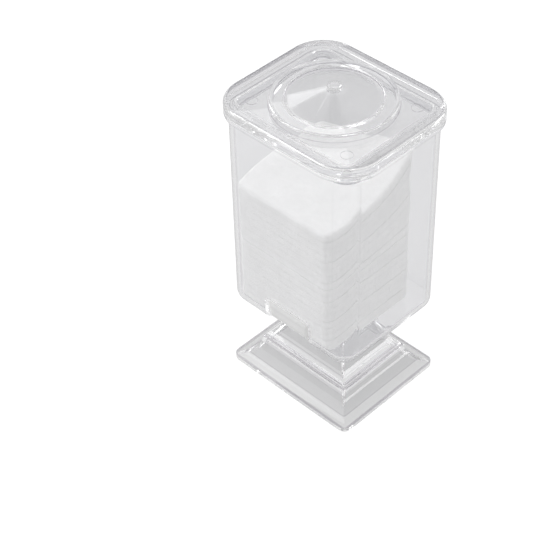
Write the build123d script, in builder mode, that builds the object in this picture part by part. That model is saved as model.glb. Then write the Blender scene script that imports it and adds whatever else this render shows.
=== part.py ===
from build123d import *
import os
from math import sin

os.makedirs("parts", exist_ok=True)

# A clear cotton pad jar: a rectangular jar with a finger slot stands on a stepped hollow foot.
# Its lid lifts off, and square cotton pads are stacked inside.
# Sizes are in millimetres, with Z up and the origin under the middle of the foot.
# The front wall, which holds the slot, faces minus Y.

# Foot
FOOT_WIDTH = 77.0
FOOT_DEPTH = 65.8
FOOT_HEIGHT = 41.0
FOOT_CORNER = 4.2
FOOT_INNER_CORNER = 0.6
FOOT_WALL = 1.8
FOOT_CAP = 4.2
BASE_EDGE = 2.3
BASE_LEDGE = 0.8
SWEEP_RUN = 9.7
SWEEP_RISE = 8.1
SWEEP_SAG = 1.25
RISER_DRAFT = 0.5
LOWER_RISER = 3.4
LOWER_TREAD = 1.2
UPPER_RISER = 1.8
SHOULDER_RUN = 2.2
SHOULDER_RISE = 1.2
NECK_RUN = 6.6
NECK_RISE = 13.2
NECK_SAG = 0.7
FLANGE_OVERHANG = 2.4
FLANGE_RISE = 4.5
FLANGE_BAND = 1.5

# Jar
JAR_WIDTH = 76.6
JAR_DEPTH = 65.8
JAR_HEIGHT = 114.6
JAR_CORNER = 9.1
JAR_WALL = 2.2
JAR_FLOOR = 2.4
BOTTOM_ROUND = 7.0
GLUE_LINE = 0.1
LIP_OVERHANG = 4.2
LIP_CORNER = 18.3
LIP_FLARE = 2.5
LIP_BAND = 2.2
LIP_EDGE_ROUND = 0.6
SPIGOT_WIDTH = 28.0
SPIGOT_DEPTH = 17.0
SPIGOT_HEIGHT = 1.6
SPIGOT_CORNER = 2.0
SPIGOT_CLEARANCE = 0.15
SLOT_WIDTH = 28.5
SLOT_CENTRE = 0.75
SLOT_TOP = 16.0
SLOT_CORNER = 3.0
SLOT_REACH = 9.0

# Lid
SEAM_GAP = 0.15
LID_EDGE = 4.2
LID_EDGE_ROUND = 1.9
RIM_WIDTH = 5.8
RIM_INNER_CORNER = 5.5
PANEL_DROP = 0.8
RIM_INNER_ROUND = 0.5
LID_WALL = 2.0
PLUG_CLEARANCE = 0.35
PLUG_WALL = 1.6
PLUG_HEIGHT = 4.0
RING_OUTER_RADIUS = 28.9
RING_INNER_RADIUS = 21.7
RING_RISE = 3.6
RING_ROUND = 1.3
RING_INNER_ROUND = 0.7
GROOVE_WIDTH = 1.1
GROOVE_DEPTH = 0.9
CONE_RISE = 5.7
KNOB_RADIUS = 3.2
KNOB_HEIGHT = 1.3
KNOB_ROUND = 0.9
MARK_RADIUS = 2.8
MARK_HEIGHT = 0.3
MARK_SPACING_X = 56.6
MARK_SPACING_Y = 45.2

# Cotton pads
PAD_COUNT = 18
PAD_WIDTH = 56.5
PAD_DEPTH = 55.0
PAD_THICKNESS = 3.8
PAD_GAP = 0.2
PAD_CORNER = 3.0
PAD_BEVEL = 0.8
PAD_CLEARANCE = 0.4
PAD_SIDE_GAP = 5.1
PAD_DRIFT = 0.25
PAD_DRIFT_STEP = 2.1
FLAT_PADS = 9
BEND_SHARES = (0.0, 0.33, 0.7, 1.0)
LEFT_RISES = (0.0, 6.5, 6.0, 5.0)
RIGHT_RISES = (0.0, 0.0, -2.0, 21.0)

# Heights and plans that follow from them
jar_base = FOOT_HEIGHT + GLUE_LINE
jar_top = jar_base + JAR_HEIGHT
lip_width = JAR_WIDTH + 2 * LIP_OVERHANG
lip_depth = JAR_DEPTH + 2 * LIP_OVERHANG
inner_width = JAR_WIDTH - 2 * JAR_WALL
inner_depth = JAR_DEPTH - 2 * JAR_WALL
inner_corner = JAR_CORNER - JAR_WALL
inner_floor = jar_base + JAR_FLOOR
inner_round = BOTTOM_ROUND - JAR_WALL


def foot_section(half_base, shift, top):
    """Return the foot's outline across one direction, moved in and down by shift."""
    edge_top = (half_base - shift, BASE_EDGE - shift)
    sweep_start = (edge_top[0] - BASE_LEDGE, edge_top[1])
    sweep_end = (sweep_start[0] - SWEEP_RUN, sweep_start[1] + SWEEP_RISE)
    tread_edge = (sweep_end[0] - RISER_DRAFT, sweep_end[1] + LOWER_RISER)
    tread_root = (tread_edge[0] - LOWER_TREAD, tread_edge[1])
    shoulder_start = (tread_root[0], tread_root[1] + UPPER_RISER)
    shoulder_end = (shoulder_start[0] - SHOULDER_RUN, shoulder_start[1] + SHOULDER_RISE)
    waist = (shoulder_end[0] - NECK_RUN, shoulder_end[1] + NECK_RISE)
    with BuildSketch() as section:
        with BuildLine():
            Polyline((0, -shift), (edge_top[0], -shift), edge_top, sweep_start)
            SagittaArc(sweep_start, sweep_end, SWEEP_SAG)
            Polyline(sweep_end, tread_edge, tread_root, shoulder_start, shoulder_end)
            SagittaArc(shoulder_end, waist, NECK_SAG)
            Polyline(waist, (waist[0], top), (0, top), (0, -shift))
        make_face()
        mirror(about=Plane.YZ)
    return section.sketch


def foot_form(shift, corner, top):
    """Return the form whose section is the same on all four sides, so that its hips are mitred."""
    with BuildPart() as form:
        with BuildSketch(Plane.XZ):
            add(foot_section(FOOT_WIDTH / 2, shift, top))
        extrude(amount=FOOT_DEPTH, both=True)
        with BuildSketch(Plane.YZ):
            add(foot_section(FOOT_DEPTH / 2, shift, top))
        extrude(amount=FOOT_WIDTH, both=True, mode=Mode.INTERSECT)
        with BuildSketch(Plane.XY.offset(-shift)):
            RectangleRounded(FOOT_WIDTH - 2 * shift, FOOT_DEPTH - 2 * shift, corner)
        extrude(amount=FOOT_HEIGHT + shift, mode=Mode.INTERSECT)
    return form.part


# Pedestal foot: the outer form, the same form moved in and down as its hollow, and a flange on top
waist_inset = BASE_LEDGE + SWEEP_RUN + RISER_DRAFT + LOWER_TREAD + SHOULDER_RUN + NECK_RUN
waist_width = FOOT_WIDTH - 2 * waist_inset
waist_depth = FOOT_DEPTH - 2 * waist_inset
flange_width = waist_width + 2 * FLANGE_OVERHANG
flange_depth = waist_depth + 2 * FLANGE_OVERHANG
with BuildPart() as pedestal_foot:
    add(foot_form(0, FOOT_CORNER, FOOT_HEIGHT))
    with BuildSketch(Plane.XY.offset(FOOT_HEIGHT - FLANGE_BAND - FLANGE_RISE)):
        Rectangle(waist_width, waist_depth)
    with BuildSketch(Plane.XY.offset(FOOT_HEIGHT - FLANGE_BAND)):
        Rectangle(flange_width, flange_depth)
    loft()
    with BuildSketch(Plane.XY.offset(FOOT_HEIGHT - FLANGE_BAND)):
        Rectangle(flange_width, flange_depth)
    extrude(amount=FLANGE_BAND)
    add(foot_form(FOOT_WALL, FOOT_INNER_CORNER, FOOT_HEIGHT - FOOT_CAP), mode=Mode.SUBTRACT)
    with BuildSketch(Plane.XY.offset(FOOT_HEIGHT)):
        RectangleRounded(
            SPIGOT_WIDTH + 2 * SPIGOT_CLEARANCE,
            SPIGOT_DEPTH + 2 * SPIGOT_CLEARANCE,
            SPIGOT_CORNER + SPIGOT_CLEARANCE,
        )
    extrude(amount=-(SPIGOT_HEIGHT + SPIGOT_CLEARANCE), mode=Mode.SUBTRACT)

# Jar: walls with a rounded bottom, then the flared lip, the inside, the spigot and the slot
with BuildPart() as jar_body:
    with BuildSketch(Plane.XY.offset(jar_base)):
        RectangleRounded(JAR_WIDTH, JAR_DEPTH, JAR_CORNER)
    extrude(amount=JAR_HEIGHT)
    fillet(jar_body.edges().group_by(Axis.Z)[0], BOTTOM_ROUND)
    with BuildSketch(Plane.XY.offset(jar_top - LIP_BAND - LIP_FLARE)):
        RectangleRounded(JAR_WIDTH, JAR_DEPTH, JAR_CORNER)
    with BuildSketch(Plane.XY.offset(jar_top - LIP_BAND)):
        RectangleRounded(lip_width, lip_depth, LIP_CORNER)
    loft(ruled=True)
    with BuildSketch(Plane.XY.offset(jar_top - LIP_BAND)):
        RectangleRounded(lip_width, lip_depth, LIP_CORNER)
    extrude(amount=LIP_BAND)
    fillet(jar_body.edges().group_by(Axis.Z)[-1], LIP_EDGE_ROUND)
    with BuildSketch(Plane.XY.offset(inner_floor)):
        RectangleRounded(inner_width, inner_depth, inner_corner)
    extrude(amount=jar_top - inner_floor, mode=Mode.SUBTRACT)
    fillet(jar_body.faces().filter_by(Plane.XY).group_by(Axis.Z)[1].edges(), inner_round)
    with BuildSketch(Plane.XY.offset(jar_base)):
        RectangleRounded(SPIGOT_WIDTH, SPIGOT_DEPTH, SPIGOT_CORNER)
    extrude(amount=-SPIGOT_HEIGHT)
    with BuildSketch(Plane.XZ.offset(JAR_DEPTH / 2)):
        with Locations((SLOT_CENTRE, jar_base)):
            RectangleRounded(SLOT_WIDTH, 2 * SLOT_TOP, SLOT_CORNER)
    extrude(amount=-SLOT_REACH, mode=Mode.SUBTRACT)

# Lid: a rimmed plate with a plug skirt below, a raised ring and a cone with a knob on top
lid_base = jar_top + SEAM_GAP
lid_top = lid_base + LID_EDGE
panel_top = lid_top - PANEL_DROP
panel_base = panel_top - LID_WALL
plug_width = inner_width - 2 * PLUG_CLEARANCE
plug_depth = inner_depth - 2 * PLUG_CLEARANCE
plug_corner = inner_corner - PLUG_CLEARANCE
ring_top = panel_top + RING_RISE
groove_base = ring_top - GROOVE_DEPTH
cone_radius = RING_INNER_RADIUS - GROOVE_WIDTH
cone_top = groove_base + CONE_RISE
with BuildSketch(Plane.XZ) as crown_section:
    with BuildLine():
        Polyline(
            (0, panel_base),
            (RING_OUTER_RADIUS, panel_base),
            (RING_OUTER_RADIUS, ring_top),
            (RING_INNER_RADIUS, ring_top),
            (RING_INNER_RADIUS, groove_base),
            (cone_radius, groove_base),
            (KNOB_RADIUS, cone_top),
            (KNOB_RADIUS, cone_top + KNOB_HEIGHT),
            (0, cone_top + KNOB_HEIGHT),
            close=True,
        )
    make_face()
    fillet(crown_section.vertices().group_by(Axis.Y)[-3].sort_by(Axis.X)[-1], RING_ROUND)
    fillet(crown_section.vertices().group_by(Axis.Y)[-3].sort_by(Axis.X)[0], RING_INNER_ROUND)
    fillet(crown_section.vertices().group_by(Axis.Y)[-1].sort_by(Axis.X)[-1], KNOB_ROUND)
with BuildSketch(Plane.XZ) as hollow_section:
    with BuildLine():
        Polyline(
            (0, panel_base),
            (RING_OUTER_RADIUS - LID_WALL, panel_base),
            (RING_OUTER_RADIUS - LID_WALL, ring_top - LID_WALL),
            (RING_INNER_RADIUS + GROOVE_WIDTH, ring_top - LID_WALL),
            (cone_radius, groove_base - LID_WALL),
            (KNOB_RADIUS, cone_top - LID_WALL),
            (0, cone_top - LID_WALL),
            close=True,
        )
    make_face()
with BuildPart() as lid:
    with BuildSketch(Plane.XY.offset(lid_base)):
        RectangleRounded(lip_width, lip_depth, LIP_CORNER)
    extrude(amount=LID_EDGE)
    fillet(lid.edges().group_by(Axis.Z)[-1], LID_EDGE_ROUND)
    fillet(lid.edges().group_by(Axis.Z)[0], LIP_EDGE_ROUND)
    with BuildSketch(Plane.XY.offset(lid_top)):
        RectangleRounded(lip_width - 2 * RIM_WIDTH, lip_depth - 2 * RIM_WIDTH, RIM_INNER_CORNER)
    extrude(amount=-PANEL_DROP, mode=Mode.SUBTRACT)
    fillet(lid.edges(Select.LAST).group_by(Axis.Z)[-1], RIM_INNER_ROUND)
    with BuildSketch(Plane.XY.offset(lid_base)):
        RectangleRounded(plug_width, plug_depth, plug_corner)
    extrude(amount=-PLUG_HEIGHT)
    with BuildSketch(Plane.XY.offset(panel_base)):
        RectangleRounded(plug_width - 2 * PLUG_WALL, plug_depth - 2 * PLUG_WALL, plug_corner - PLUG_WALL)
    extrude(amount=-(panel_base - lid_base + PLUG_HEIGHT), mode=Mode.SUBTRACT)
    revolve(crown_section.sketch, axis=Axis.Z)
    revolve(hollow_section.sketch, axis=Axis.Z, mode=Mode.SUBTRACT)
    with BuildSketch(Plane.XY.offset(panel_base)):
        with GridLocations(MARK_SPACING_X, MARK_SPACING_Y, 2, 2):
            Circle(MARK_RADIUS)
    extrude(amount=-MARK_HEIGHT)

# The room that the walls and the rounded floor leave for the pads
with BuildPart() as pad_room:
    with BuildSketch(Plane.XY.offset(inner_floor + PAD_GAP)):
        RectangleRounded(
            inner_width - 2 * PAD_CLEARANCE, inner_depth - 2 * PAD_CLEARANCE, inner_corner - PAD_CLEARANCE
        )
    extrude(amount=JAR_HEIGHT)
    fillet(pad_room.edges().group_by(Axis.Z)[0], inner_round)

# Where the stack of pads stands
stack_left = PAD_SIDE_GAP - PAD_DRIFT - inner_width / 2
stack_right = stack_left + PAD_WIDTH + 2 * PAD_DRIFT
stack_front = PAD_CLEARANCE - inner_depth / 2
stack_back = stack_front + PAD_DEPTH + PAD_DRIFT


def bent_side(low, low_bend, high_bend, rises):
    """Return one side of a bent layer, with the rises taken up by its lower and upper edges in part."""
    stations = [stack_front + (stack_back - stack_front) * share for share in BEND_SHARES]
    low_points = [(place, low + low_bend * rise) for place, rise in zip(stations, rises)]
    high_points = [(place, low + PAD_THICKNESS + high_bend * rise) for place, rise in zip(stations, rises)]
    with BuildSketch() as side:
        with BuildLine():
            Bezier(*low_points)
            Line(low_points[-1], high_points[-1])
            Bezier(*reversed(high_points))
            Line(high_points[0], low_points[0])
        make_face()
    return side.sketch


def bent_layer(low, low_bend, high_bend):
    """Return the bent layer that a pad of the upper stack is cut from."""
    with BuildPart() as layer:
        for place, rises in ((stack_left, LEFT_RISES), (stack_right, RIGHT_RISES)):
            with BuildSketch(Plane.YZ.offset(place)):
                add(bent_side(low, low_bend, high_bend, rises))
        loft(ruled=True)
    return layer.part


def cotton_pad(level):
    """Return the pad of one level; above the flat ones, each bends up a little more than the last."""
    low = inner_floor + PAD_GAP + level * (PAD_THICKNESS + PAD_GAP)
    bent_pads = PAD_COUNT - FLAT_PADS
    drift = PAD_DRIFT * sin(PAD_DRIFT_STEP * level)
    depth = PAD_DEPTH + drift
    with BuildPart() as pad:
        with BuildSketch(Plane.XY.offset(low)):
            with Locations(((stack_left + stack_right) / 2 + drift, stack_front + depth / 2)):
                RectangleRounded(PAD_WIDTH, depth, PAD_CORNER)
        extrude(amount=PAD_THICKNESS)
        if level >= FLAT_PADS:
            extrude(pad.faces().sort_by(Axis.Z)[-1], amount=max(RIGHT_RISES))
            extrude(pad.faces().sort_by(Axis.Z)[0], amount=-min(RIGHT_RISES))
            share = (level - FLAT_PADS) / bent_pads
            add(bent_layer(low, share, share + 1 / bent_pads), mode=Mode.INTERSECT)
        chamfer(pad.faces().group_by(Axis.Z)[-1].edges() + pad.faces().group_by(Axis.Z)[0].edges(), PAD_BEVEL)
        if low < inner_floor + inner_round:
            add(pad_room.part, mode=Mode.INTERSECT)
    return pad.part


pieces = {"lid": lid.part, "jar_body": jar_body.part, "pedestal_foot": pedestal_foot.part}
for level in range(PAD_COUNT):
    pieces[f"cotton_pad_{level + 1:02d}"] = cotton_pad(level)
for name, piece in pieces.items():
    piece.label = name
    export_step(piece, f"parts/{name}.step")
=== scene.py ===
"""Looks for a clear pedestal jar that holds a stack of square cotton pads.

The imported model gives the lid, the jar, the foot and the places of the pads. This script dresses
the clear mouldings, models each cotton pad as a soft felted slab, and sets up the studio.
"""

import logging
import math
from dataclasses import dataclass, field
from enum import Enum

import bpy
import numpy as np
from mathutils import Matrix, Vector, noise


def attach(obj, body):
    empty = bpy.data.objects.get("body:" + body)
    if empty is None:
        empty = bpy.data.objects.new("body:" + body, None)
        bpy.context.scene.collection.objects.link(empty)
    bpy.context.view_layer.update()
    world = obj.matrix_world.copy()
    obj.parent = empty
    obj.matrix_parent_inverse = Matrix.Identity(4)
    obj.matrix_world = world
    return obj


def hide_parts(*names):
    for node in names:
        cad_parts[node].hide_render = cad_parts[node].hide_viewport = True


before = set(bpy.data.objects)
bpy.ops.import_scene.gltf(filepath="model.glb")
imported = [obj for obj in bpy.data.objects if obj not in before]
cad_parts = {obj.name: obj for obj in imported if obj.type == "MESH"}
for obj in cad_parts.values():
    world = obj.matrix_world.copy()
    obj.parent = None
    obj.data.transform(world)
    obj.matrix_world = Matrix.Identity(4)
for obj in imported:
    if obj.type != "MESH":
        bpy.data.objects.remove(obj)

LOG = logging.getLogger("pad_jar")
MM = 0.001
TINY = 1e-9

Triple = tuple[float, float, float]


class Body(Enum):
    """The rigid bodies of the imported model."""

    JAR = "jar"
    LID = "lid"


class Slot(Enum):
    """The finish slots that the record names."""

    CLEAR_PLASTIC = "clear_plastic"
    COTTON = "cotton"


def deselect_all() -> None:
    """Leave nothing selected, so that an operator acts only on what is chosen next."""
    bpy.ops.object.select_all(action="DESELECT")


def select_only(piece: bpy.types.Object) -> None:
    """Make one object the only selected one and the active one.

    Args:
        piece: the object to select.
    """
    deselect_all()
    piece.select_set(True)
    bpy.context.view_layer.objects.active = piece


class NodeSheet:
    """A node tree with short calls to add nodes and links."""

    def __init__(self, tree: bpy.types.NodeTree) -> None:
        """Keep the tree.

        Args:
            tree: the node tree to work on.
        """
        self.tree = tree

    def add(self, kind: str, **settings: object) -> bpy.types.Node:
        """Add a node.

        Args:
            kind: the node's type name.
            settings: attributes set on the node.

        Returns:
            The new node.
        """
        node = self.tree.nodes.new(kind)
        for name, value in settings.items():
            setattr(node, name, value)
        return node

    def link(self, source: bpy.types.NodeSocket, target: bpy.types.NodeSocket) -> None:
        """Join an output socket to an input socket."""
        self.tree.links.new(source, target)


def blank_group(name: str, inputs: tuple[tuple[str, str], ...], output: str) -> bpy.types.NodeTree:
    """Make a shader node group that holds only its sockets.

    Args:
        name: the group's name.
        inputs: the name and the socket type of each input.
        output: the name of its one output, which is a value.

    Returns:
        The new node group.
    """
    tree = bpy.data.node_groups.new(name, "ShaderNodeTree")
    for label, kind in inputs:
        tree.interface.new_socket(label, in_out="INPUT", socket_type=kind)
    tree.interface.new_socket(output, in_out="OUTPUT", socket_type="NodeSocketFloat")
    return tree


def blank_material(name: str) -> tuple[bpy.types.Material, NodeSheet]:
    """Make a material that has no nodes yet.

    Args:
        name: the material's name.

    Returns:
        The material and the sheet for its nodes.
    """
    material = bpy.data.materials.new(name)
    material.use_nodes = True
    material.node_tree.nodes.clear()
    return material, NodeSheet(material.node_tree)


class MottleGroup:
    """A shared effect: two scales of soft noise multiplied into one value between two limits."""

    NAME = "soft_mottle"
    INPUTS = (
        ("Vector", "NodeSocketVector"),
        ("Scale", "NodeSocketFloat"),
        ("Low", "NodeSocketFloat"),
        ("High", "NodeSocketFloat"),
    )
    BROAD_DETAIL = 4.0
    FINE_DETAIL = 2.0
    FINE_TIMES = 5.0
    LEAST = 0.12
    MOST = 0.42

    @classmethod
    def get(cls) -> bpy.types.NodeTree:
        """Return the node group, built on the first call.

        Returns:
            The shader node group with the inputs above and output Value.
        """
        found = bpy.data.node_groups.get(cls.NAME)
        if found:
            return found
        tree = blank_group(cls.NAME, cls.INPUTS, "Value")
        sheet = NodeSheet(tree)
        inlet = sheet.add("NodeGroupInput")
        outlet = sheet.add("NodeGroupOutput")
        broad = sheet.add("ShaderNodeTexNoise")
        broad.inputs["Detail"].default_value = cls.BROAD_DETAIL
        fine_scale = sheet.add("ShaderNodeMath", operation="MULTIPLY")
        fine_scale.inputs[1].default_value = cls.FINE_TIMES
        fine = sheet.add("ShaderNodeTexNoise")
        fine.inputs["Detail"].default_value = cls.FINE_DETAIL
        both = sheet.add("ShaderNodeMath", operation="MULTIPLY")
        spread = sheet.add("ShaderNodeMapRange")
        spread.inputs["From Min"].default_value = cls.LEAST
        spread.inputs["From Max"].default_value = cls.MOST
        sheet.link(inlet.outputs["Vector"], broad.inputs["Vector"])
        sheet.link(inlet.outputs["Scale"], broad.inputs["Scale"])
        sheet.link(inlet.outputs["Scale"], fine_scale.inputs[0])
        sheet.link(inlet.outputs["Vector"], fine.inputs["Vector"])
        sheet.link(fine_scale.outputs[0], fine.inputs["Scale"])
        sheet.link(broad.outputs["Fac"], both.inputs[0])
        sheet.link(fine.outputs["Fac"], both.inputs[1])
        sheet.link(both.outputs[0], spread.inputs["Value"])
        sheet.link(inlet.outputs["Low"], spread.inputs["To Min"])
        sheet.link(inlet.outputs["High"], spread.inputs["To Max"])
        sheet.link(spread.outputs["Result"], outlet.inputs["Value"])
        return tree

    @classmethod
    def place(
        cls, sheet: NodeSheet, vector: bpy.types.NodeSocket, scale: float, low: float, high: float
    ) -> bpy.types.NodeSocket:
        """Put the group into a material.

        Args:
            sheet: the material's node sheet.
            vector: the coordinates that the pattern follows.
            scale: how many features there are to a metre.
            low: the lowest value.
            high: the highest value.

        Returns:
            The socket that gives the mottled value.
        """
        node = sheet.add("ShaderNodeGroup", node_tree=cls.get())
        sheet.link(vector, node.inputs["Vector"])
        node.inputs["Scale"].default_value = scale
        node.inputs["Low"].default_value = low
        node.inputs["High"].default_value = high
        return node.outputs["Value"]


class LineGroup:
    """A shared effect: a mask for a fine line of painted shade or highlight that follows a rounded
    outline at one height.
    """

    NAME = "painted_light_line"
    INPUTS = (
        ("Vector", "NodeSocketVector"),
        ("Core", "NodeSocketVector"),
        ("Least", "NodeSocketVector"),
        ("Reach", "NodeSocketFloat"),
        ("Reach Half", "NodeSocketFloat"),
        ("Height", "NodeSocketFloat"),
        ("Height Half", "NodeSocketFloat"),
    )

    @classmethod
    def get(cls) -> bpy.types.NodeTree:
        """Return the node group, built on the first call.

        Returns:
            The shader node group with the inputs above and output Mask.
        """
        found = bpy.data.node_groups.get(cls.NAME)
        if found:
            return found
        tree = blank_group(cls.NAME, cls.INPUTS, "Mask")
        sheet = NodeSheet(tree)
        inlet = sheet.add("NodeGroupInput")
        outlet = sheet.add("NodeGroupOutput")
        mirrored = sheet.add("ShaderNodeVectorMath", operation="ABSOLUTE")
        beyond = sheet.add("ShaderNodeVectorMath", operation="SUBTRACT")
        kept = sheet.add("ShaderNodeVectorMath", operation="MAXIMUM")
        level = sheet.add("ShaderNodeVectorMath", operation="MULTIPLY")
        level.inputs[1].default_value = (1.0, 1.0, 0.0)
        reach = sheet.add("ShaderNodeVectorMath", operation="LENGTH")
        on_outline = sheet.add("ShaderNodeMath", operation="COMPARE")
        split = sheet.add("ShaderNodeSeparateXYZ")
        at_height = sheet.add("ShaderNodeMath", operation="COMPARE")
        both = sheet.add("ShaderNodeMath", operation="MULTIPLY")
        sheet.link(inlet.outputs["Vector"], mirrored.inputs[0])
        sheet.link(mirrored.outputs["Vector"], beyond.inputs[0])
        sheet.link(inlet.outputs["Core"], beyond.inputs[1])
        sheet.link(beyond.outputs["Vector"], kept.inputs[0])
        sheet.link(inlet.outputs["Least"], kept.inputs[1])
        sheet.link(kept.outputs["Vector"], level.inputs[0])
        sheet.link(level.outputs["Vector"], reach.inputs[0])
        sheet.link(reach.outputs["Value"], on_outline.inputs[0])
        sheet.link(inlet.outputs["Reach"], on_outline.inputs[1])
        sheet.link(inlet.outputs["Reach Half"], on_outline.inputs[2])
        sheet.link(inlet.outputs["Vector"], split.inputs["Vector"])
        sheet.link(split.outputs["Z"], at_height.inputs[0])
        sheet.link(inlet.outputs["Height"], at_height.inputs[1])
        sheet.link(inlet.outputs["Height Half"], at_height.inputs[2])
        sheet.link(on_outline.outputs[0], both.inputs[0])
        sheet.link(at_height.outputs[0], both.inputs[1])
        sheet.link(both.outputs[0], outlet.inputs["Mask"])
        return tree


@dataclass(frozen=True)
class PaintedLightLine:
    """A fine line, in millimetres, painted where faces of a moulding meet, or a band of another shade. A
    dark line is painted shade along the edge, and a light line or band is a painted highlight.

    The line follows a rounded rectangle: the core is the middle of its corner arcs and reach is
    their radius. A line that isn't hugging is a whole circle about each core instead. The halves
    are how far the line spreads to either side of its reach and of its height.
    """

    core: tuple[float, float]
    reach: float
    reach_half: float
    height: float
    height_half: float
    hugging: bool = True
    # Dark grey by default: painted shade along the edge
    tint: Triple = (0.52, 0.50, 0.54)

    def mask(self, sheet: NodeSheet, place: bpy.types.NodeSocket) -> bpy.types.NodeSocket:
        """Put the line into a material.

        Args:
            sheet: the material's node sheet.
            place: the object coordinates.

        Returns:
            The socket that is 1 on the line and 0 elsewhere.
        """
        node = sheet.add("ShaderNodeGroup", node_tree=LineGroup.get())
        sheet.link(place, node.inputs["Vector"])
        node.inputs["Core"].default_value = (self.core[0] * MM, self.core[1] * MM, 0.0)
        node.inputs["Least"].default_value = (0.0, 0.0, 0.0) if self.hugging else (-1.0, -1.0, 0.0)
        node.inputs["Reach"].default_value = self.reach * MM
        node.inputs["Reach Half"].default_value = self.reach_half * MM
        node.inputs["Height"].default_value = self.height * MM
        node.inputs["Height Half"].default_value = self.height_half * MM
        return node.outputs["Mask"]


@dataclass(frozen=True)
class ClearPlastic:
    """Clear injection-moulded plastic with a faint mould haze, greyer where it is seen edge on.

    Shadow rays, diffuse rays and rays that stay trapped in a wall pass through it unbent. Lengths
    are in metres, and a scale is in features to a metre.
    """

    name: str = "clear_wall_plastic"
    tint: Triple = (0.97, 0.97, 0.98)
    edge_tint: Triple = (0.45, 0.44, 0.47)
    facing_blend: float = 0.5
    edge_from: float = 0.55
    edge_to: float = 0.95
    refraction: float = 1.50
    smooth: float = 0.0
    hazy: float = 0.004
    haze_scale: float = 25.0
    ripple: float = 0.000002
    ripple_scale: float = 45.0
    ripple_detail: float = 1.0
    passing_tint: Triple = (0.97, 0.97, 0.97)
    trapped_after: float = 10.0
    lines: tuple[PaintedLightLine, ...] = ()

    def build(self) -> bpy.types.Material:
        """Make the material.

        Returns:
            The finished material.
        """
        material, sheet = blank_material(self.name)
        place = sheet.add("ShaderNodeTexCoord").outputs["Object"]
        haze = MottleGroup.place(sheet, place, self.haze_scale, self.smooth, self.hazy)
        surface = sheet.add("ShaderNodeBsdfPrincipled")
        surface.inputs["Metallic"].default_value = 0.0
        surface.inputs["IOR"].default_value = self.refraction
        surface.inputs["Transmission Weight"].default_value = 1.0
        sheet.link(haze, surface.inputs["Roughness"])
        sheet.link(self.with_painted_lines(sheet, place, self.edge_greyed(sheet)), surface.inputs["Base Color"])
        sheet.link(self.rippled(sheet, place), surface.inputs["Normal"])
        out = sheet.add("ShaderNodeOutputMaterial")
        sheet.link(self.let_through(sheet, surface.outputs["BSDF"]), out.inputs["Surface"])
        return material

    def edge_greyed(self, sheet: NodeSheet) -> bpy.types.NodeSocket:
        """Make the plastic greyer where a face is seen edge on.

        Args:
            sheet: the material's node sheet.

        Returns:
            The colour.
        """
        turned = sheet.add("ShaderNodeLayerWeight")
        turned.inputs["Blend"].default_value = self.facing_blend
        edge_on = sheet.add("ShaderNodeMapRange", interpolation_type="SMOOTHSTEP")
        edge_on.inputs["From Min"].default_value = self.edge_from
        edge_on.inputs["From Max"].default_value = self.edge_to
        colour = sheet.add("ShaderNodeMix", data_type="RGBA")
        colour.inputs["A"].default_value = (*self.tint, 1.0)
        colour.inputs["B"].default_value = (*self.edge_tint, 1.0)
        sheet.link(turned.outputs["Facing"], edge_on.inputs["Value"])
        sheet.link(edge_on.outputs["Result"], colour.inputs["Factor"])
        return colour.outputs["Result"]

    def rippled(self, sheet: NodeSheet, place: bpy.types.NodeSocket) -> bpy.types.NodeSocket:
        """Give the faces the shallow ripple of a moulding.

        Args:
            sheet: the material's node sheet.
            place: the object coordinates.

        Returns:
            The bent normal.
        """
        wave = sheet.add("ShaderNodeTexNoise")
        wave.inputs["Scale"].default_value = self.ripple_scale
        wave.inputs["Detail"].default_value = self.ripple_detail
        bump = sheet.add("ShaderNodeBump")
        bump.inputs["Distance"].default_value = self.ripple
        sheet.link(place, wave.inputs["Vector"])
        sheet.link(wave.outputs["Fac"], bump.inputs["Height"])
        return bump.outputs["Normal"]

    def let_through(self, sheet: NodeSheet, surface: bpy.types.NodeSocket) -> bpy.types.NodeSocket:
        """Let shadow rays, diffuse rays and rays with too many bounces pass unbent.

        Args:
            sheet: the material's node sheet.
            surface: the plastic's own shader.

        Returns:
            The shader that also lets those rays through.
        """
        passing = sheet.add("ShaderNodeBsdfTransparent")
        passing.inputs["Color"].default_value = (*self.passing_tint, 1.0)
        path = sheet.add("ShaderNodeLightPath")
        soft_ray = sheet.add("ShaderNodeMath", operation="MAXIMUM")
        trapped = sheet.add("ShaderNodeMath", operation="GREATER_THAN")
        trapped.inputs[1].default_value = self.trapped_after
        let_out = sheet.add("ShaderNodeMath", operation="MAXIMUM")
        mix = sheet.add("ShaderNodeMixShader")
        sheet.link(path.outputs["Is Shadow Ray"], soft_ray.inputs[0])
        sheet.link(path.outputs["Is Diffuse Ray"], soft_ray.inputs[1])
        sheet.link(path.outputs["Ray Depth"], trapped.inputs[0])
        sheet.link(soft_ray.outputs[0], let_out.inputs[0])
        sheet.link(trapped.outputs[0], let_out.inputs[1])
        sheet.link(let_out.outputs[0], mix.inputs["Fac"])
        sheet.link(surface, mix.inputs[1])
        sheet.link(passing.outputs["BSDF"], mix.inputs[2])
        return mix.outputs["Shader"]

    def with_painted_lines(
        self, sheet: NodeSheet, place: bpy.types.NodeSocket, colour: bpy.types.NodeSocket
    ) -> bpy.types.NodeSocket:
        """Paint the moulding's fine lines and bands into the colour: dark ones as painted shade, light
        ones as painted highlights.

        Args:
            sheet: the material's node sheet.
            place: the object coordinates.
            colour: the colour without the lines.

        Returns:
            The colour with the lines.
        """
        for line in self.lines:
            changed = sheet.add("ShaderNodeMix", data_type="RGBA")
            changed.inputs["B"].default_value = (*line.tint, 1.0)
            sheet.link(line.mask(sheet, place), changed.inputs["Factor"])
            sheet.link(colour, changed.inputs["A"])
            colour = changed.outputs["Result"]
        return colour


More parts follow.
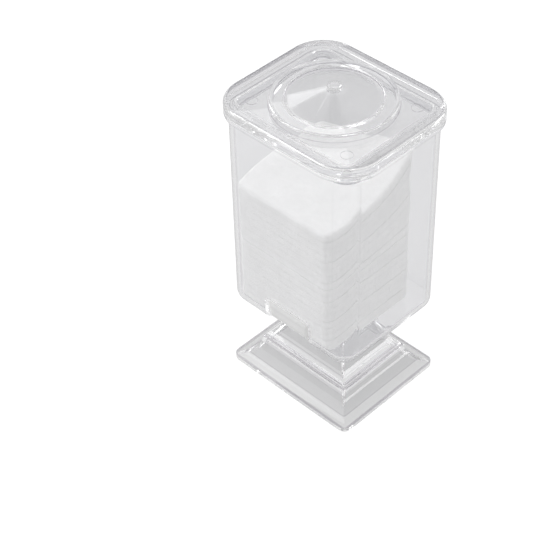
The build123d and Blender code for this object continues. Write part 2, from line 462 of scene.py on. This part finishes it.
@dataclass(frozen=True)
class Cotton:
    """White felted cotton: matte, a little translucent, with fibres and soft lumps.

    Where fingers pull the pads out through the slot, the cotton is painted greyer, as painted shade: it
    changes along Y between the two limits given for it. Lengths are in metres.
    """

    name: str = "white_cotton"
    shade: Triple = (0.86, 0.86, 0.86)
    bright: Triple = (0.92, 0.92, 0.92)
    # Painted shade for the cotton in the finger slot, and the span along Y where it fades in
    slot_shade: Triple = (0.74, 0.74, 0.74)
    slot_shade_from: float = -0.0306
    slot_shade_to: float = -0.0316
    roughness: float = 0.95
    shine: float = 0.1
    fuzz: float = 0.3
    fuzz_roughness: float = 0.6
    translucence: float = 0.25
    glow_depth: float = 0.004
    lump_scale: float = 90.0
    fibre_scale: float = 900.0
    fibre_detail: float = 6.0
    fibre_twist: float = 1.5
    relief: float = 0.00013

    def build(self) -> bpy.types.Material:
        """Make the material.

        Returns:
            The finished material.
        """
        material, sheet = blank_material(self.name)
        place = sheet.add("ShaderNodeTexCoord").outputs["Object"]
        lumps = MottleGroup.place(sheet, place, self.lump_scale, 0.0, 1.0)
        surface = sheet.add("ShaderNodeBsdfPrincipled")
        surface.inputs["Roughness"].default_value = self.roughness
        surface.inputs["Specular IOR Level"].default_value = self.shine
        surface.inputs["Sheen Weight"].default_value = self.fuzz
        surface.inputs["Sheen Roughness"].default_value = self.fuzz_roughness
        surface.inputs["Subsurface Weight"].default_value = self.translucence
        surface.inputs["Subsurface Radius"].default_value = (self.glow_depth,) * 3
        surface.inputs["Subsurface Scale"].default_value = 1.0
        sheet.link(self.shaded(sheet, place, lumps), surface.inputs["Base Color"])
        sheet.link(self.felted(sheet, place, lumps), surface.inputs["Normal"])
        out = sheet.add("ShaderNodeOutputMaterial")
        sheet.link(surface.outputs["BSDF"], out.inputs["Surface"])
        return material

    def shaded(
        self, sheet: NodeSheet, place: bpy.types.NodeSocket, lumps: bpy.types.NodeSocket
    ) -> bpy.types.NodeSocket:
        """Shade the cotton by its lumps, and paint it greyer in the finger slot, as painted shade.

        Args:
            sheet: the material's node sheet.
            place: the object coordinates.
            lumps: the mottled value.

        Returns:
            The colour.
        """
        colour = sheet.add("ShaderNodeMix", data_type="RGBA")
        colour.inputs["A"].default_value = (*self.shade, 1.0)
        colour.inputs["B"].default_value = (*self.bright, 1.0)
        split = sheet.add("ShaderNodeSeparateXYZ")
        slot_shade_mask = sheet.add("ShaderNodeMapRange", interpolation_type="SMOOTHSTEP")
        slot_shade_mask.inputs["From Min"].default_value = self.slot_shade_from
        slot_shade_mask.inputs["From Max"].default_value = self.slot_shade_to
        # Painted shade: the cotton in the finger slot is greyed
        slot_shaded = sheet.add("ShaderNodeMix", data_type="RGBA")
        slot_shaded.inputs["B"].default_value = (*self.slot_shade, 1.0)
        sheet.link(lumps, colour.inputs["Factor"])
        sheet.link(place, split.inputs["Vector"])
        sheet.link(split.outputs["Y"], slot_shade_mask.inputs["Value"])
        sheet.link(slot_shade_mask.outputs["Result"], slot_shaded.inputs["Factor"])
        sheet.link(colour.outputs["Result"], slot_shaded.inputs["A"])
        return slot_shaded.outputs["Result"]

    def felted(
        self, sheet: NodeSheet, place: bpy.types.NodeSocket, lumps: bpy.types.NodeSocket
    ) -> bpy.types.NodeSocket:
        """Raise fibres and lumps on the faces.

        Args:
            sheet: the material's node sheet.
            place: the object coordinates.
            lumps: the mottled value.

        Returns:
            The bent normal.
        """
        fibres = sheet.add("ShaderNodeTexNoise")
        fibres.inputs["Scale"].default_value = self.fibre_scale
        fibres.inputs["Detail"].default_value = self.fibre_detail
        fibres.inputs["Distortion"].default_value = self.fibre_twist
        height = sheet.add("ShaderNodeMath", operation="ADD")
        bump = sheet.add("ShaderNodeBump")
        bump.inputs["Distance"].default_value = self.relief
        sheet.link(place, fibres.inputs["Vector"])
        sheet.link(fibres.outputs["Fac"], height.inputs[0])
        sheet.link(lumps, height.inputs[1])
        sheet.link(height.outputs[0], bump.inputs["Height"])
        return bump.outputs["Normal"]


@dataclass(frozen=True)
class Moulding:
    """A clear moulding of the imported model: its node, the body it belongs to and its finish."""

    node: str
    body: Body
    finish: ClearPlastic

    def dress(self) -> None:
        """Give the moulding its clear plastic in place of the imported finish."""
        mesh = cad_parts[self.node].data
        mesh.materials.clear()
        mesh.materials.append(self.finish.build())
        LOG.info("dressed %s on body %s as %s", self.node, self.body.value, Slot.CLEAR_PLASTIC.value)


class ClearMouldings:
    """The three clear mouldings and the lines and bands of painted shade and painted highlight on each of
    them.
    """

    # Where the corner arcs and the round marks have their middles, from the object's upright axis
    MIDDLE = (0.0, 0.0)
    LIP = (24.2, 18.8)
    WALL = (29.2, 23.8)
    RIM = (31.2, 25.8)
    MARKS = (28.3, 22.6)
    # A spread that takes in the foot from side to side
    WHOLE_FOOT = 60.0

    # Dark lines painted where the jar's faces meet: painted shade along its edges
    JAR_SHADE_LINES = (
        PaintedLightLine(WALL, 9.1, 0.5, 151.0, 0.30, tint=(0.36, 0.35, 0.38)),
        PaintedLightLine(LIP, 18.3, 0.5, 153.5, 0.24, tint=(0.48, 0.47, 0.50)),
        PaintedLightLine(WALL, 6.9, 0.4, 48.3, 0.15, tint=(0.72, 0.71, 0.74)),
    )
    # Dark lines painted along the lid's edges are painted shade
    LID_SHADE_AND_HIGHLIGHT_LINES = (
        PaintedLightLine(LIP, 18.3, 0.8, 156.1, 0.22, tint=(0.52, 0.51, 0.54)),
        PaintedLightLine(LIP, 18.3, 0.8, 158.1, 0.20, tint=(0.64, 0.63, 0.66)),
        # White line on the rim: a painted highlight
        PaintedLightLine(LIP, 17.5, 0.25, 159.6, 0.5, tint=(1.0, 1.0, 1.0)),
        PaintedLightLine(LIP, 16.6, 0.24, 160.0, 0.2, tint=(0.54, 0.53, 0.56)),
        PaintedLightLine(LIP, 14.6, 0.20, 160.0, 0.1, tint=(0.70, 0.69, 0.72)),
        PaintedLightLine(RIM, 5.5, 0.3, 159.6, 0.3, tint=(0.80, 0.79, 0.81)),
        PaintedLightLine(MIDDLE, 28.9, 0.2, 159.3, 0.2, hugging=False),
        PaintedLightLine(MIDDLE, 21.7, 0.12, 162.4, 0.6, hugging=False),
        PaintedLightLine(MARKS, 2.8, 0.14, 157.1, 0.3, hugging=False),
        # Grey band over the cone: painted shade
        PaintedLightLine(MIDDLE, 12.0, 8.6, 163.5, 3.2, hugging=False, tint=(0.80, 0.80, 0.81)),
    )
    # Dark lines painted along the foot's step edges are painted shade
    FOOT_SHADE_AND_HIGHLIGHT_LINES = (
        # Lighter band over the steps: a painted highlight
        PaintedLightLine(MIDDLE, 0.0, WHOLE_FOOT, 13.7, 3.2, tint=(0.96, 0.96, 0.97)),
        # White band along the base edge: a painted highlight
        PaintedLightLine(MIDDLE, 0.0, WHOLE_FOOT, 1.2, 1.1, tint=(1.0, 1.0, 1.0)),
        PaintedLightLine(MIDDLE, 0.0, WHOLE_FOOT, 10.4, 0.12),
        PaintedLightLine(MIDDLE, 0.0, WHOLE_FOOT, 13.8, 0.10),
        PaintedLightLine(MIDDLE, 0.0, WHOLE_FOOT, 15.6, 0.10),
        PaintedLightLine(MIDDLE, 0.0, WHOLE_FOOT, 2.3, 0.12),
    )
    # Many small faces lie close together in the lid and the foot, which look greyer than the walls. The
    # foot's deeper grey tint is partly painted shade, for the shaded table seen in its hollow.
    MOULDINGS = (
        Moulding("jar_body", Body.JAR, ClearPlastic(lines=JAR_SHADE_LINES)),
        Moulding("lid", Body.LID, ClearPlastic("clear_lid_plastic", (0.86, 0.86, 0.87), lines=LID_SHADE_AND_HIGHLIGHT_LINES)),
        Moulding(
            "pedestal_foot",
            Body.JAR,
            ClearPlastic("clear_foot_plastic", (0.73, 0.73, 0.74), lines=FOOT_SHADE_AND_HIGHLIGHT_LINES),
        ),
    )

    def dress(self) -> None:
        """Give every moulding its finish."""
        for moulding in self.MOULDINGS:
            moulding.dress()


@dataclass
class BentSurface:
    """How far the uppermost layer rises above flat, over the stack's area, in millimetres.

    Each side of the stack follows a cubic curve, and the layer runs straight between the two.
    """

    left: float = -31.25
    right: float = 25.75
    front: float = -30.3
    back: float = 24.95
    shares: tuple[float, ...] = (0.0, 0.33, 0.7, 1.0)
    left_rises: tuple[float, ...] = (0.0, 6.5, 6.0, 5.0)
    right_rises: tuple[float, ...] = (0.0, 0.0, -2.0, 21.0)
    steps: int = 96

    def __post_init__(self) -> None:
        """Work out both side curves once."""
        self.share_curve = self.curve(self.shares)
        self.left_curve = self.curve(self.left_rises)
        self.right_curve = self.curve(self.right_rises)

    def curve(self, controls: tuple[float, ...]) -> np.ndarray:
        """Follow a cubic curve.

        Args:
            controls: the curve's four control values.

        Returns:
            The curve's values at even steps.
        """
        t = np.linspace(0.0, 1.0, self.steps)
        weights = ((1 - t) ** 3, 3 * (1 - t) ** 2 * t, 3 * (1 - t) * t**2, t**3)
        return sum(weight * value for weight, value in zip(weights, controls))

    def rise(self, x: np.ndarray, y: np.ndarray) -> np.ndarray:
        """Look up the full rise at some places.

        Args:
            x: places across the stack.
            y: places from its front to its back.

        Returns:
            The rise of the uppermost layer at each place.
        """
        share = np.clip((y - self.front) / (self.back - self.front), 0.0, 1.0)
        across = np.clip((x - self.left) / (self.right - self.left), 0.0, 1.0)
        at_left = np.interp(share, self.share_curve, self.left_curve)
        at_right = np.interp(share, self.share_curve, self.right_curve)
        return at_left + (at_right - at_left) * across


@dataclass
class PadStack:
    """The soft square pads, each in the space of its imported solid. Sizes are in millimetres.

    The lowest pads, as many as flat says, lie flat and each pad above them bends a little more.
    Drift and lean shift the pads sideways, and closeness takes up part of the gap between two.
    Rows of points run up a pad's side from its underside, row 0, to its top. EDGE_INSETS is how far
    each row is drawn in and EDGE_DROPS how far it stands from the pad's nearer face, both in shares
    of the edge's radius. The middle row lies halfway up instead.
    """

    count: int = 18
    flat: int = 9
    width: float = 56.5
    depth: float = 55.0
    corner: float = 3.0
    corner_share: float = 0.3
    least_corner: float = 1.0
    base: float = 43.7
    pitch: float = 4.0
    thickness: float = 3.8
    closeness: float = 0.09
    drift: float = 0.05
    drift_step: float = 2.1
    seam_edge: float = 0.02
    open_seam: int = 10
    open_edge: float = 0.4
    crown_edge: float = 1.5
    floor_edge: float = 2.4
    floor_round: float = 4.6
    cells: int = 44
    lump: float = 0.32
    lump_size: float = 17.0
    tuft: float = 0.05
    tuft_size: float = 2.6
    noise_seed: int = 7
    calm_height: float = 8.0
    lean: float = 0.7
    slot_middle: float = 0.75
    slot_half: float = 13.9
    slot_side: float = 2.4
    slot_top: float = 56.6
    slot_back: float = -24.2
    slot_back_side: float = 1.5
    swell: float = 1.8
    swell_side: float = 2.0
    surface: BentSurface = field(default_factory=BentSurface)
    finish: Cotton = field(default_factory=Cotton)

    EDGE_INSETS = (1.0, 0.5, 0.134, 0.0, 0.0, 0.0, 0.0, 0.0, 0.134, 0.5, 1.0)
    EDGE_DROPS = (0.0, 0.134, 0.5, 1.0, 1.2, 0.0, 1.2, 1.0, 0.5, 0.134, 0.0)
    MIDDLE_ROW = 5

    def build(self) -> None:
        """Model and dress every pad, with the same lumps in each run."""
        noise.seed_set(self.noise_seed)
        material = self.finish.build()
        blank = self.slab_blank()
        for level in range(self.count):
            name = f"cotton_pad_{level + 1:02d}"
            pad = bpy.data.objects.new(f"soft_{name}", blank.data.copy())
            bpy.context.scene.collection.objects.link(pad)
            self.shape(pad.data, level)
            pad.data.materials.append(material)
            select_only(pad)
            bpy.ops.object.shade_smooth()
            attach(pad, Body.JAR.value)
            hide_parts(name)
            LOG.info("modelled %s", pad.name)
        bpy.data.objects.remove(blank)

    def slab_blank(self) -> bpy.types.Object:
        """Model the blank slab: a grid pulled up row by row, two units wide and one unit to a row.

        Returns:
            The blank, which every pad's mesh is copied from.
        """
        deselect_all()
        bpy.ops.mesh.primitive_grid_add(
            x_subdivisions=self.cells, y_subdivisions=self.cells, size=2.0, location=(0, 0, 0)
        )
        blank = bpy.context.active_object
        blank.name = "pad_blank"
        bpy.ops.object.mode_set(mode="EDIT")
        bpy.ops.mesh.select_all(action="SELECT")
        for _ in range(len(self.EDGE_INSETS) - 1):
            bpy.ops.mesh.extrude_region_move(TRANSFORM_OT_translate={"value": (0, 0, 1)})
        bpy.ops.mesh.select_all(action="SELECT")
        bpy.ops.mesh.normals_make_consistent(inside=False)
        bpy.ops.object.mode_set(mode="OBJECT")
        return blank

    def edges_of(self, level: int) -> tuple[float, float]:
        """Choose how round a pad's lower and upper edges are.

        Args:
            level: the pad's level, from 0 at the floor.

        Returns:
            The radius of the lower and of the upper edge.
        """
        low = self.open_edge if level == self.open_seam else self.seam_edge
        high = self.open_edge if level == self.open_seam - 1 else self.seam_edge
        if level == 0:
            low = self.floor_edge
        if level == self.count - 1:
            high = self.crown_edge
        return low, high

    def shape(self, mesh: bpy.types.Mesh, level: int) -> None:
        """Move the blank's points to one pad's form.

        Args:
            mesh: the pad's own copy of the blank mesh.
            level: the pad's level, from 0 at the floor.
        """
        points = np.empty(len(mesh.vertices) * 3)
        mesh.vertices.foreach_get("co", points)
        points = points.reshape(-1, 3)
        row = np.rint(points[:, 2]).astype(int)
        edge_low, edge_high = self.edges_of(level)
        edge = np.where(row < self.MIDDLE_ROW, edge_low, edge_high)
        inset = np.array(self.EDGE_INSETS)[row] * edge
        drop = np.array(self.EDGE_DROPS)[row] * edge
        low = self.base + level * self.pitch - (self.closeness if level else 0.0)
        high = self.base + level * self.pitch + self.thickness + self.closeness
        flat_z = np.where(row < self.MIDDLE_ROW, low + drop, high - drop)
        flat_z[row == self.MIDDLE_ROW] = (low + edge_low + high - edge_high) / 2
        shift = self.drift * math.sin(self.drift_step * level) - self.lean * level / self.count
        middle_x = (self.surface.left + self.surface.right) / 2 + shift
        middle_y = self.surface.front + self.depth / 2
        x, y = self.rounded_square(points[:, 0], points[:, 1], inset)
        x, y = x + middle_x, y + middle_y
        back = self.surface.front + self.depth
        drawn_in = np.clip(self.floor_inset(flat_z) - inset, 0.0, None) / self.depth
        y = back - (back - y) * (1.0 - drawn_in)
        bent = np.clip(flat_z - self.base - self.flat * self.pitch, 0.0, None)
        share = bent / ((self.count - self.flat) * self.pitch)
        z = flat_z + share * self.surface.rise(x, y)
        out_y, out_z = self.swelling(x, y, flat_z)
        y, z = y + out_y, z + out_z
        points = self.roughen(np.stack((x, y, z), axis=1))
        mesh.vertices.foreach_set("co", (points * MM).ravel())
        mesh.update()

    def floor_inset(self, z: np.ndarray) -> np.ndarray:
        """Draw the front of the lowest pads in over the jar's rounded floor.

        Args:
            z: heights in millimetres.

        Returns:
            How far in the outline moves at each height.
        """
        below = np.clip(self.base + self.floor_round - z, 0.0, self.floor_round)
        return self.floor_round - np.sqrt(self.floor_round**2 - below**2)

    def swelling(self, x: np.ndarray, y: np.ndarray, z: np.ndarray) -> tuple[np.ndarray, np.ndarray]:
        """Let the lowest pads swell out into the finger slot, square to their own rounded front.

        Args:
            x: places across the stack in millimetres.
            y: places from its front to its back.
            z: heights above the surface the jar stands on.

        Returns:
            How far each point moves along Y and along Z.
        """
        across = self.eased((self.slot_half - np.abs(x - self.slot_middle)) / self.slot_side)
        below = self.eased((self.slot_top - z) / self.slot_side)
        before = self.eased((self.slot_back - y) / self.slot_back_side)
        out_y = np.minimum(y - self.surface.front - self.floor_round, 0.0)
        out_z = np.minimum(z - self.base - self.floor_round, 0.0)
        reach = np.maximum(np.hypot(out_y, out_z), TINY)
        amount = self.swell * across * below * before * self.eased(reach / self.swell_side) / reach
        return amount * out_y, amount * out_z

    @staticmethod
    def eased(share: np.ndarray) -> np.ndarray:
        """Ease a share in and out between 0 and 1."""
        share = np.clip(share, 0.0, 1.0)
        return share * share * (3.0 - 2.0 * share)

    def rounded_square(
        self, across: np.ndarray, along: np.ndarray, inset: np.ndarray
    ) -> tuple[np.ndarray, np.ndarray]:
        """Spread points of a square over the pad's outline with its rounded corners.

        Args:
            across: places from -1 to 1 across the square.
            along: places from -1 to 1 along the square.
            inset: how far the outline is drawn in at each point.

        Returns:
            The places in millimetres from the pad's middle.
        """
        half_x = self.width / 2 - inset
        half_y = self.depth / 2 - inset
        radius = np.maximum(self.corner - self.corner_share * inset, self.least_corner)
        x, y = across * half_x, along * half_y
        over_x = np.clip(np.abs(x) - (half_x - radius), 0.0, None)
        over_y = np.clip(np.abs(y) - (half_y - radius), 0.0, None)
        reach = np.hypot(over_x, over_y)
        cornered = (over_x > 0) & (over_y > 0)
        scale = np.where(cornered, np.maximum(over_x, over_y) / np.maximum(reach, TINY), 1.0)
        x = np.sign(x) * (np.abs(x) - over_x + over_x * scale)
        y = np.sign(y) * (np.abs(y) - over_y + over_y * scale)
        return x, y

    def roughen(self, points: np.ndarray) -> np.ndarray:
        """Move points by soft noise that neighbouring pads share, so that they stay side by side.

        The push along Z fades out from the calm height down to the jar's floor.

        Args:
            points: places in millimetres.

        Returns:
            The moved places.
        """
        moved = []
        for point in points:
            place = Vector(point)
            push = noise.noise_vector(place / self.lump_size) * self.lump
            push += noise.noise_vector(place / self.tuft_size) * self.tuft
            push.z *= min(1.0, max(0.0, (place.z - self.base) / self.calm_height))
            moved.append(place + push)
        return np.array(moved)


@dataclass
class PhotoCamera:
    """The camera that looks at the jar from the photograph's place. Sizes are in millimetres."""

    place: Triple = (372.08, -401.60, 557.88)
    right: Triple = (0.70859, 0.70518, -0.02489)
    up: Triple = (-0.45977, 0.48818, 0.74182)
    back: Triple = (0.53527, -0.51420, 0.67014)
    lens: float = 104.447
    sensor: float = 36.0
    nearest: float = 10.0

    def build(self) -> None:
        """Add the camera and make it the scene's own."""
        data = bpy.data.cameras.new("photo_camera")
        data.lens = self.lens
        data.sensor_width = self.sensor
        data.clip_start = self.nearest * MM
        camera = bpy.data.objects.new("photo_camera", data)
        bpy.context.scene.collection.objects.link(camera)
        turn = Matrix((self.right, self.up, self.back)).transposed().to_4x4()
        camera.matrix_world = Matrix.Translation(Vector(self.place) * MM) @ turn
        bpy.context.scene.camera = camera


@dataclass(frozen=True)
class Softbox:
    """A rectangular area light aimed at the jar. Sizes are in metres and power is in watts."""

    name: str
    place: Triple
    width: float
    height: float
    power: float
    seen_through_plastic: bool = False
    aim: Triple = (0.0, 0.0, 0.08)

    def build(self) -> None:
        """Add the light, which glints through the plastic only where that is asked for."""
        light = bpy.data.lights.new(self.name, "AREA")
        light.shape = "RECTANGLE"
        light.size = self.width
        light.size_y = self.height
        light.energy = self.power
        lamp = bpy.data.objects.new(self.name, light)
        bpy.context.scene.collection.objects.link(lamp)
        lamp.location = self.place
        lamp.visible_transmission = self.seen_through_plastic
        towards = Vector(self.aim) - Vector(self.place)
        lamp.rotation_euler = towards.to_track_quat("-Z", "Y").to_euler()


@dataclass
class Studio:
    """A plain white table, a soft grey room and large soft lights. Sizes are in metres.

    The room's levels and patch are given by the height of a direction, from 0 at the horizon to 1
    straight overhead.
    """

    floor_size: float = 8.0
    floor_drop: float = 0.0002
    floor_glow: float = 0.57
    floor_glow_in_view: float = 0.86
    floor_shade: float = 0.20
    room_low: float = 0.75
    room_high: float = 1.06
    high_from: float = 0.9
    dim_overhead: float = 0.2
    overhead_edge: float = 0.92
    overhead_from: float = 0.97
    dim_right: float = 0.75
    bounces: int = 96
    softboxes: tuple[Softbox, ...] = (
        Softbox("key_softbox", (-0.572, 0.408, 1.03), 0.40, 0.59, 1.0),
        Softbox("front_softbox", (-0.60, -0.20, 0.93), 0.55, 0.22, 0.7),
        Softbox("left_softbox", (-0.97, 0.29, 0.80), 0.40, 0.35, 0.8, seen_through_plastic=True),
        Softbox("back_softbox", (0.91, 0.56, 0.24), 0.50, 0.13, 1.0),
        Softbox("fill_softbox", (-0.55, -0.90, 0.88), 1.00, 0.90, 3.0),
    )

    def build(self) -> None:
        """Add the floor, the room light and the softboxes."""
        self.add_floor()
        self.add_room()
        for softbox in self.softboxes:
            softbox.build()
        scene = bpy.context.scene
        scene.view_settings.view_transform = "Standard"
        scene.cycles.max_bounces = self.bounces
        scene.cycles.glossy_bounces = self.bounces
        scene.cycles.transmission_bounces = self.bounces
        scene.cycles.transparent_max_bounces = self.bounces

    def add_floor(self) -> None:
        """Add the white table top, which is clear from below so that the foot's hollow shows."""
        deselect_all()
        bpy.ops.mesh.primitive_plane_add(size=self.floor_size, location=(0, 0, -self.floor_drop))
        floor = bpy.context.active_object
        floor.name = "white_table"
        material = bpy.data.materials.new("white_table_top")
        material.use_nodes = True
        surface = material.node_tree.nodes["Principled BSDF"]
        surface.inputs["Base Color"].default_value = (self.floor_shade,) * 3 + (1.0,)
        surface.inputs["Roughness"].default_value = 1.0
        surface.inputs["Specular IOR Level"].default_value = 0.0
        surface.inputs["Emission Color"].default_value = (1.0, 1.0, 1.0, 1.0)
        sheet = NodeSheet(material.node_tree)
        out = material.node_tree.nodes["Material Output"]
        facing = sheet.add("ShaderNodeNewGeometry")
        see_through = sheet.add("ShaderNodeBsdfTransparent")
        side = sheet.add("ShaderNodeMixShader")
        sheet.link(facing.outputs["Backfacing"], side.inputs["Fac"])
        sheet.link(surface.outputs["BSDF"], side.inputs[1])
        sheet.link(see_through.outputs["BSDF"], side.inputs[2])
        sheet.link(side.outputs["Shader"], out.inputs["Surface"])
        path = sheet.add("ShaderNodeLightPath")
        glow = sheet.add("ShaderNodeMapRange")
        glow.inputs["To Min"].default_value = self.floor_glow
        glow.inputs["To Max"].default_value = self.floor_glow_in_view
        sheet.link(path.outputs["Is Camera Ray"], glow.inputs["Value"])
        sheet.link(glow.outputs["Result"], surface.inputs["Emission Strength"])
        floor.data.materials.append(material)

    def add_room(self) -> None:
        """Add the room's light, darker near the horizon, to the right and in a patch overhead."""
        world = bpy.data.worlds.new("studio_room")
        world.use_nodes = True
        bpy.context.scene.world = world
        sheet = NodeSheet(world.node_tree)
        background = world.node_tree.nodes["Background"]
        background.inputs["Color"].default_value = (1.0, 1.0, 1.0, 1.0)
        direction = sheet.add("ShaderNodeTexCoord").outputs["Generated"]
        split = sheet.add("ShaderNodeSeparateXYZ")
        level = sheet.add("ShaderNodeMapRange", interpolation_type="SMOOTHSTEP")
        level.inputs["From Min"].default_value = 0.0
        level.inputs["From Max"].default_value = self.high_from
        level.inputs["To Min"].default_value = self.room_low
        level.inputs["To Max"].default_value = self.room_high
        patch = sheet.add("ShaderNodeMapRange", interpolation_type="SMOOTHSTEP")
        patch.inputs["From Min"].default_value = self.overhead_edge
        patch.inputs["From Max"].default_value = self.overhead_from
        patch.inputs["To Min"].default_value = 1.0
        patch.inputs["To Max"].default_value = self.dim_overhead
        side = sheet.add("ShaderNodeMapRange", interpolation_type="SMOOTHSTEP")
        side.inputs["To Min"].default_value = 1.0
        side.inputs["To Max"].default_value = self.dim_right
        shaded = sheet.add("ShaderNodeMath", operation="MULTIPLY")
        strength = sheet.add("ShaderNodeMath", operation="MULTIPLY")
        sheet.link(direction, split.inputs["Vector"])
        sheet.link(split.outputs["Z"], level.inputs["Value"])
        sheet.link(split.outputs["Z"], patch.inputs["Value"])
        sheet.link(split.outputs["X"], side.inputs["Value"])
        sheet.link(level.outputs["Result"], shaded.inputs[0])
        sheet.link(side.outputs["Result"], shaded.inputs[1])
        sheet.link(shaded.outputs[0], strength.inputs[0])
        sheet.link(patch.outputs["Result"], strength.inputs[1])
        sheet.link(strength.outputs[0], background.inputs["Strength"])


def main() -> None:
    """Build the scene, piece by piece."""
    logging.basicConfig(level=logging.INFO, format="%(name)s %(message)s")
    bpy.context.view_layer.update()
    ClearMouldings().dress()
    PadStack().build()
    Studio().build()
    PhotoCamera().build()
    bpy.context.view_layer.update()


if __name__ == "__main__":
    main()
